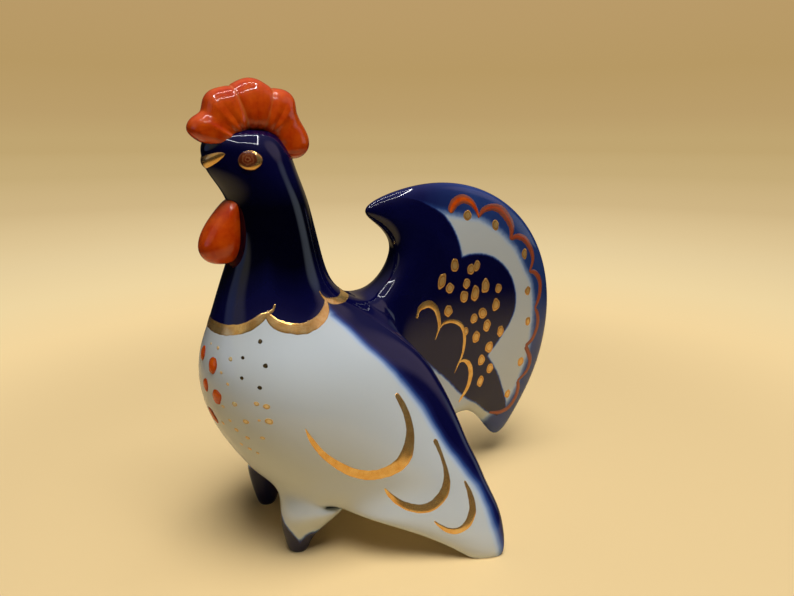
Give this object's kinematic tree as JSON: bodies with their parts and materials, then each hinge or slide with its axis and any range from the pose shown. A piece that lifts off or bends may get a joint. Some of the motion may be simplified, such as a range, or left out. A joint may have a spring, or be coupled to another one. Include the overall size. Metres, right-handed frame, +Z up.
{
  "type": "porcelain rooster figurine",
  "caption": "Hollow glazed porcelain rooster with upright neck, lobed comb, teardrop wattle, drooping wings and a tall fan tail; stands on its feet and wing tips as a shelf ornament.",
  "frame": {"origin": "on the surface it stands on, under the middle of its bounding box", "axes": "+Z up; the bird faces -Y; +X is the bird's left, and it is mirror symmetric across X = 0"},
  "size_m": [0.0978, 0.1314, 0.1354],
  "materials": {
    "porcelain": "clear gloss glaze over white porcelain",
    "cobalt_glaze": "gloss glaze over deep cobalt underglaze",
    "orange_enamel": "gloss orange enamel over the glaze",
    "gilt": "burnished gold lustre over the glaze"
  },
  "bodies": {
    "root": {"body": "porcelain", "neck_and_head": "cobalt_glaze", "tail_fan": "cobalt_glaze", "left_wing": "porcelain", "right_wing": "porcelain", "left_foot": "cobalt_glaze", "right_foot": "cobalt_glaze", "comb": "orange_enamel", "wattle": "orange_enamel", "beak": "gilt", "left_eye": "gilt", "right_eye": "gilt"}
  },
  "joints": []
}
